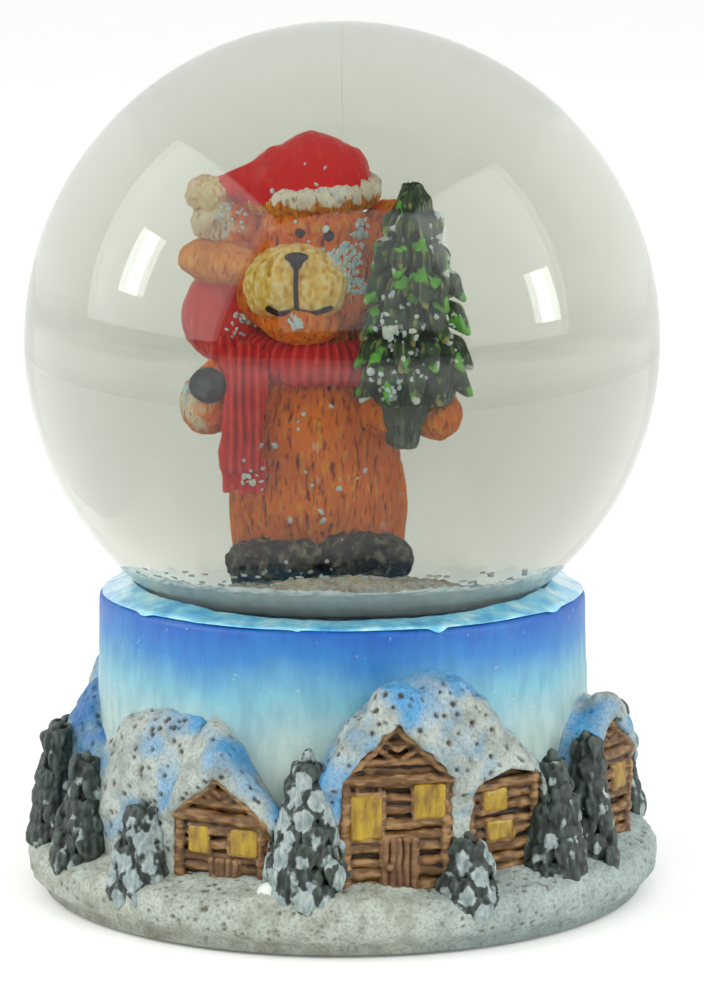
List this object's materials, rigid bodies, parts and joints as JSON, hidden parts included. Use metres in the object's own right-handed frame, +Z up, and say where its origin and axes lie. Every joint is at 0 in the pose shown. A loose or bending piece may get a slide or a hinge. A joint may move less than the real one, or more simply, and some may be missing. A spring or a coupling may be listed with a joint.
{
  "type": "snow globe",
  "caption": "Water-filled glass snow globe with a painted bear figure and loose snow, glued to a round resin base with a snowy village in relief.",
  "frame": {"origin": "middle of the underside of the base, on the table", "axes": "+Z up through the middle of the glass ball, the bear faces -Y, +X to the viewer's right"},
  "size_m": [0.066, 0.066, 0.089],
  "materials": {
    "globe_glass": "clear blown glass, polished",
    "water": "clear filling liquid",
    "stopper_rubber": "matt rubber",
    "glue": "clear glossy sealant, tinted by the paint under it",
    "collar_paint": "satin airbrushed paint on cast resin, deep blue at the rim fading to pale",
    "ground_snow": "matt white paint on pitted cast resin",
    "felt": "short-pile felt",
    "log_wood": "painted cast resin, brown wash over carved logs",
    "window_yellow": "satin yellow paint on cast resin",
    "door_wood": "painted cast resin, dark brown wash over carved planks",
    "roof_snow": "matt white paint with blue overspray on pitted cast resin",
    "fir_paint": "satin dark green paint, tips dry-brushed with pale blue-white",
    "bank_snow": "matt white paint with blue overspray on pitted cast resin",
    "bank_blue": "matt pale blue paint on cast resin",
    "drift_white": "smooth satin white paint on cast resin",
    "mound_cream": "grainy cream paint on cast resin",
    "flake_snow": "fine white plastic flakes",
    "bear_fur": "satin orange-brown paint on cast resin with carved fur",
    "muzzle_cream": "satin cream paint on cast resin with carved fur",
    "bear_black": "satin black paint on cast resin",
    "pad_grey": "satin slate paint on cast resin",
    "boot_slate": "satin slate paint on cast resin",
    "hat_red": "satin red paint on cast resin",
    "trim_white": "stippled white paint on cast resin",
    "pompom_cream": "stippled cream paint on cast resin",
    "scarf_red": "satin red paint on cast resin with carved ribs",
    "sack_red": "satin red paint on cast resin",
    "cuff_peach": "satin peach paint on cast resin with carved fur",
    "held_fir_green": "satin dark green paint, edges brushed gold-green and bright green",
    "trunk_green": "satin dark green paint on cast resin"
  },
  "bodies": {
    "globe_and_base": {"glass_globe": "globe_glass", "water_fill": "water", "rubber_stopper": "stopper_rubber", "glue_bead": "glue", "base_collar": "collar_paint", "snow_ground": "ground_snow", "felt_pad": "felt", "cabin_main_walls": "log_wood", "cabin_main_snow_roof": "roof_snow", "cabin_main_windows": "window_yellow", "cabin_main_door": "door_wood", "cabin_left_walls": "log_wood", "cabin_left_snow_roof": "roof_snow", "cabin_left_windows": "window_yellow", "cabin_left_door": "door_wood", "cabin_middle_walls": "log_wood", "cabin_middle_windows": "window_yellow", "cabin_right_walls": "log_wood", "cabin_right_snow_roof": "roof_snow", "cabin_right_windows": "window_yellow", "cabin_back_walls": "log_wood", "cabin_back_snow_roof": "roof_snow", "cabin_back_windows": "window_yellow", "cabin_back_door": "door_wood", "fir_centre": "fir_paint", "fir_small": "fir_paint", "fir_right_near": "fir_paint", "fir_right_far": "fir_paint", "fir_left_big": "fir_paint", "fir_left": "fir_paint", "fir_far_left": "fir_paint", "firs_back": "fir_paint", "snow_hill_left": "bank_snow", "snow_hill_far_left": "bank_blue", "snow_hill_back": "bank_snow", "snow_drift": "drift_white", "snow_mound": "mound_cream", "settled_snow": "flake_snow", "bear_body": "bear_fur", "bear_head": "bear_fur", "bear_muzzle": "muzzle_cream", "bear_ears": "bear_fur", "bear_nose": "bear_black", "bear_eyes": "bear_black", "bear_right_arm": "bear_fur", "bear_left_arm": "bear_fur", "bear_paw_pad": "pad_grey", "bear_boots": "boot_slate", "santa_hat": "hat_red", "hat_fur_trim": "trim_white", "hat_pompom": "pompom_cream", "scarf_band": "scarf_red", "scarf_tail": "scarf_red", "gift_sack": "sack_red", "sack_fur_cuff": "cuff_peach", "held_fir": "held_fir_green", "held_fir_trunk": "trunk_green"},
    "stirred_snow": {"loose_flakes_low": "flake_snow"},
    "rising_snow": {"loose_flakes_high": "flake_snow"}
  },
  "joints": [
    {"name": "snow_swirl", "type": "hinge", "parent": "globe_and_base", "child": "stirred_snow", "pos_m": [0, 0, 0.036], "axis": [0, 0, 1], "continuous": true},
    {"name": "snow_rise", "type": "slide", "parent": "stirred_snow", "child": "rising_snow", "axis": [0, 0, 1], "range_m": [0, 0.022]}
  ]
}
